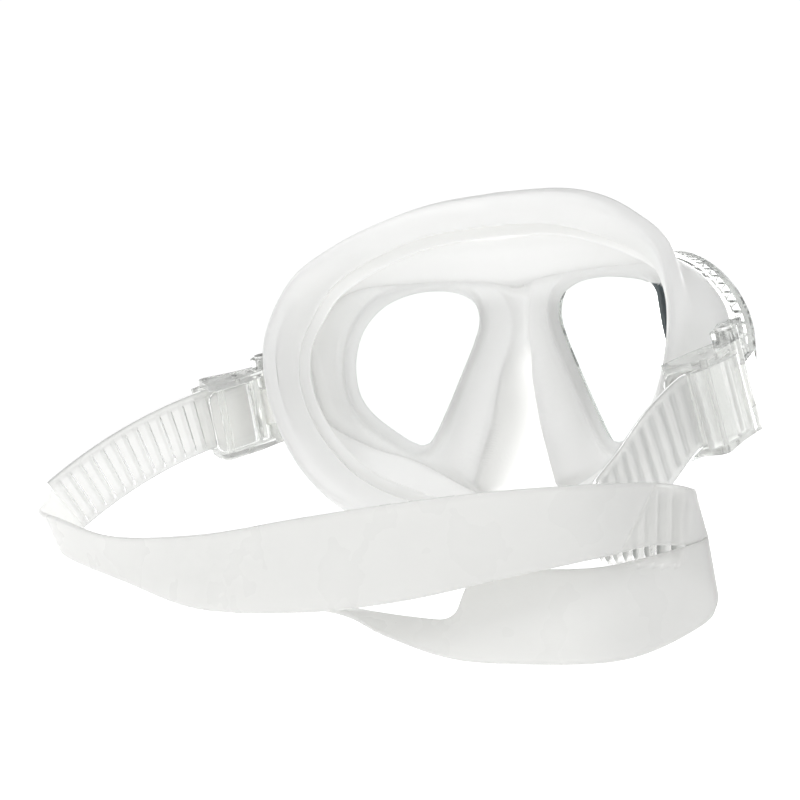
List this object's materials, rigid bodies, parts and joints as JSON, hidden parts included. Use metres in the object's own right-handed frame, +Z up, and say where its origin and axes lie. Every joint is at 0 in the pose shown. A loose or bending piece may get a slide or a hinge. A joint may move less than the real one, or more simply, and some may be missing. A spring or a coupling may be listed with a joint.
{
  "type": "diving mask",
  "caption": "Low-volume diving mask: teardrop lenses in a clear frame, soft skirt with nose pocket, split head strap adjusted by hinged roller buckles.",
  "frame": {"origin": "centre of the flat bridge pad's front face, on the mask's plane of symmetry", "axes": "-Y is the way the wearer looks and the bridge pad's outward normal, +Y runs back to the face and the strap, +Z is up along the lenses, +X is the wearer's left"},
  "size_m": [0.243, 0.1356, 0.1237],
  "materials": {
    "clear_plastic": "clear moulded polycarbonate, polished",
    "skirt_silicone": "frosted translucent silicone, satin",
    "lens_glass": "clear tempered glass, polished",
    "bezel_plastic": "clear moulded polycarbonate",
    "pin_steel": "plain stainless",
    "axle_steel": "plain stainless",
    "bush_nylon": "natural milky nylon",
    "buckle_plastic": "clear moulded polycarbonate",
    "roller_plastic": "clear moulded acetal",
    "lever_plastic": "clear moulded polycarbonate",
    "strap_silicone": "clear silicone, glossy rails with moulded ribs",
    "band_silicone": "frosted translucent silicone, satin"
  },
  "bodies": {
    "mask": {"frame": "clear_plastic", "skirt": "skirt_silicone", "lens_left": "lens_glass", "lens_right": "lens_glass", "bezel_left": "bezel_plastic", "bezel_right": "bezel_plastic", "hinge_pin_left": "pin_steel", "hinge_pin_right": "pin_steel", "hinge_bush_left": "bush_nylon", "hinge_bush_right": "bush_nylon", "head_band": "band_silicone"},
    "buckle_left": {"buckle_left": "buckle_plastic", "roller_axle_left": "axle_steel", "lever_pin_left": "axle_steel", "strap_end_left": "strap_silicone"},
    "buckle_right": {"buckle_right": "buckle_plastic", "roller_axle_right": "axle_steel", "lever_pin_right": "axle_steel", "strap_end_right": "strap_silicone"},
    "roller_left": {"roller_left": "roller_plastic"},
    "roller_right": {"roller_right": "roller_plastic"},
    "lever_left": {"lever_left": "lever_plastic"},
    "lever_right": {"lever_right": "lever_plastic"}
  },
  "joints": [
    {"name": "buckle_left_swing", "type": "hinge", "parent": "mask", "child": "buckle_left", "pos_m": [0.0878, 0.0278, -0.025], "axis": [-0.0698, 0.275, 0.9589], "range_deg": [-14, 38], "stiffness_Nm_per_rad": 0.02},
    {"name": "buckle_right_swing", "type": "hinge", "parent": "mask", "child": "buckle_right", "pos_m": [-0.0878, 0.0278, -0.025], "axis": [-0.0698, -0.275, -0.9589], "range_deg": [-42, 10], "stiffness_Nm_per_rad": 0.02},
    {"name": "roller_left_turn", "type": "hinge", "parent": "buckle_left", "child": "roller_left", "pos_m": [0.09194, 0.03646, -0.02979], "axis": [-0.0698, 0.275, 0.9589], "continuous": true},
    {"name": "roller_right_turn", "type": "hinge", "parent": "buckle_right", "child": "roller_right", "pos_m": [-0.08696, 0.03707, -0.03033], "axis": [-0.0698, -0.275, -0.9589], "continuous": true},
    {"name": "lever_left_press", "type": "hinge", "parent": "buckle_left", "child": "lever_left", "pos_m": [0.10042, 0.04124, -0.03054], "axis": [-0.0698, 0.275, 0.9589], "range_deg": [0, 12], "stiffness_Nm_per_rad": 0.01},
    {"name": "lever_right_press", "type": "hinge", "parent": "buckle_right", "child": "lever_right", "pos_m": [-0.09219, 0.04509, -0.03225], "axis": [-0.0698, -0.275, -0.9589], "range_deg": [0, 12], "stiffness_Nm_per_rad": 0.01}
  ]
}
